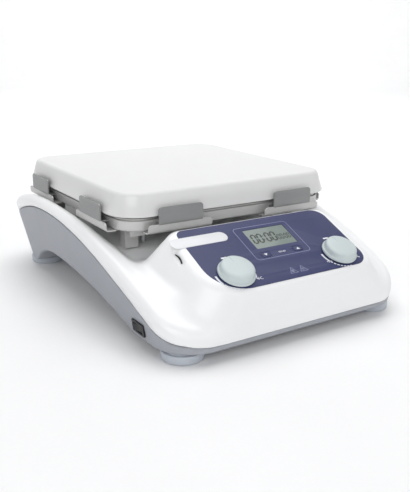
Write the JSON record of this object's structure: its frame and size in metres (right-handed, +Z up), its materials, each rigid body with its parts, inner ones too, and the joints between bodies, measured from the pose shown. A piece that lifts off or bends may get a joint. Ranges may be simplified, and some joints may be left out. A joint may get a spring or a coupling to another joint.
{
  "type": "heating magnetic stirrer",
  "caption": "Square white heating plate over a shallow body with curved side rails, and a sloping blue control console with a display, timer keys and round knobs.",
  "frame": {"origin": "centre of the footprint, on the table the feet stand on", "axes": "+X to the right as seen from the console, +Y towards the rear, +Z up"},
  "size_m": [0.2142, 0.288, 0.092],
  "materials": {
    "housing_white": "satin white moulding",
    "housing_grey": "fine textured grey moulding",
    "foot_rubber": "matt blue-grey",
    "screw_steel": "zinc plated",
    "plate_white": "white ceramic coating",
    "sheet_steel": "bead blasted stainless sheet",
    "element": "oxidised heater casting",
    "fibre": "pressed mineral fibre",
    "spacer_ceramic": "unglazed",
    "panel_blue": "printed polyester film",
    "badge_white": "blank label",
    "lcd_glass": "grey-green reflective display",
    "black_plastic": "black moulding",
    "knob_pale": "satin pale grey-blue",
    "lamp_lens": "clear lens",
    "circuit_board": "green solder mask",
    "ribbon": "flat grey cable",
    "transformer_core": "varnished laminations",
    "copper_winding": "enamelled copper on laminations",
    "aluminium_fins": "extruded",
    "magnet_black": "sintered ferrite",
    "damper_rubber": "soft black rubber"
  },
  "bodies": {
    "stirrer": {"lower_housing": "housing_grey", "upper_housing": "housing_white", "foot_front_left": "foot_rubber", "foot_front_right": "foot_rubber", "foot_rear_left": "foot_rubber", "foot_rear_right": "foot_rubber", "foot_screws": "screw_steel", "housing_screws": "screw_steel", "top_plate": "plate_white", "plate_tray": "sheet_steel", "tray_legs": "sheet_steel", "heat_shield": "sheet_steel", "heating_element": "element", "element_clamp": "sheet_steel", "insulation_pad": "fibre", "plate_standoffs": "spacer_ceramic", "plate_screws": "screw_steel", "plate_sensor": "screw_steel", "thermal_cutout": "black_plastic", "panel_overlay": "panel_blue", "badge_plate": "badge_white", "lcd_window": "lcd_glass", "lcd_module": "black_plastic", "key_switches": "black_plastic", "indicator_lamps": "lamp_lens", "pot_bodies": "sheet_steel", "pot_nuts": "screw_steel", "control_board": "circuit_board", "control_board_screws": "screw_steel", "buzzer": "black_plastic", "ribbon_cable": "ribbon", "main_board": "circuit_board", "main_board_screws": "screw_steel", "filter_capacitor": "black_plastic", "heater_relay": "black_plastic", "triac_heatsink": "aluminium_fins", "transformer": "transformer_core", "rocker_frame": "black_plastic", "rear_plate": "black_plastic", "power_inlet": "black_plastic", "inlet_pins": "screw_steel", "probe_socket": "screw_steel", "rod_socket": "screw_steel", "motor_mount": "sheet_steel", "motor_dampers": "damper_rubber", "motor_screws": "screw_steel", "motor_stator": "copper_winding", "motor_bearings": "screw_steel"},
    "temp_control": {"temp_knob": "knob_pale", "temp_pot_shaft": "screw_steel"},
    "speed_control": {"speed_knob": "knob_pale", "speed_pot_shaft": "screw_steel"},
    "rotor": {"motor_rotor": "screw_steel", "magnet_carrier": "sheet_steel", "magnets": "magnet_black"},
    "timer_down_key": {"key_timer_down": "panel_blue"},
    "timer_up_key": {"key_timer_up": "panel_blue"},
    "rocker": {"power_rocker": "black_plastic"},
    "fuse_tray": {"fuse_drawer": "black_plastic", "fuses": "spacer_ceramic"}
  },
  "joints": [
    {"name": "temp_knob_turn", "type": "hinge", "parent": "stirrer", "child": "temp_control", "pos_m": [-0.0439, -0.12664, 0.04833], "axis": [0, -0.4083, 0.9128], "range_deg": [-280, 0]},
    {"name": "speed_knob_turn", "type": "hinge", "parent": "stirrer", "child": "speed_control", "pos_m": [0.0439, -0.12664, 0.04833], "axis": [0, -0.4083, 0.9128], "range_deg": [-280, 0]},
    {"name": "rotor_spin", "type": "hinge", "parent": "stirrer", "child": "rotor", "pos_m": [0, 0.027, 0.064], "axis": [0, 0, 1], "continuous": true},
    {"name": "timer_down_press", "type": "slide", "parent": "stirrer", "child": "timer_down_key", "axis": [0, -0.4083, 0.9128], "range_m": [-0.0005, 0], "stiffness_N_per_m": 1500},
    {"name": "timer_up_press", "type": "slide", "parent": "stirrer", "child": "timer_up_key", "axis": [0, -0.4083, 0.9128], "range_m": [-0.0005, 0], "stiffness_N_per_m": 1500},
    {"name": "power_rocker_tilt", "type": "hinge", "parent": "stirrer", "child": "rocker", "pos_m": [-0.0961, -0.1, 0.0157], "axis": [-0.1678, 0, 0.9858], "range_deg": [-12, 0]},
    {"name": "fuse_drawer_pull", "type": "slide", "parent": "stirrer", "child": "fuse_tray", "axis": [0, 1, 0], "range_m": [0, 0.018]}
  ]
}
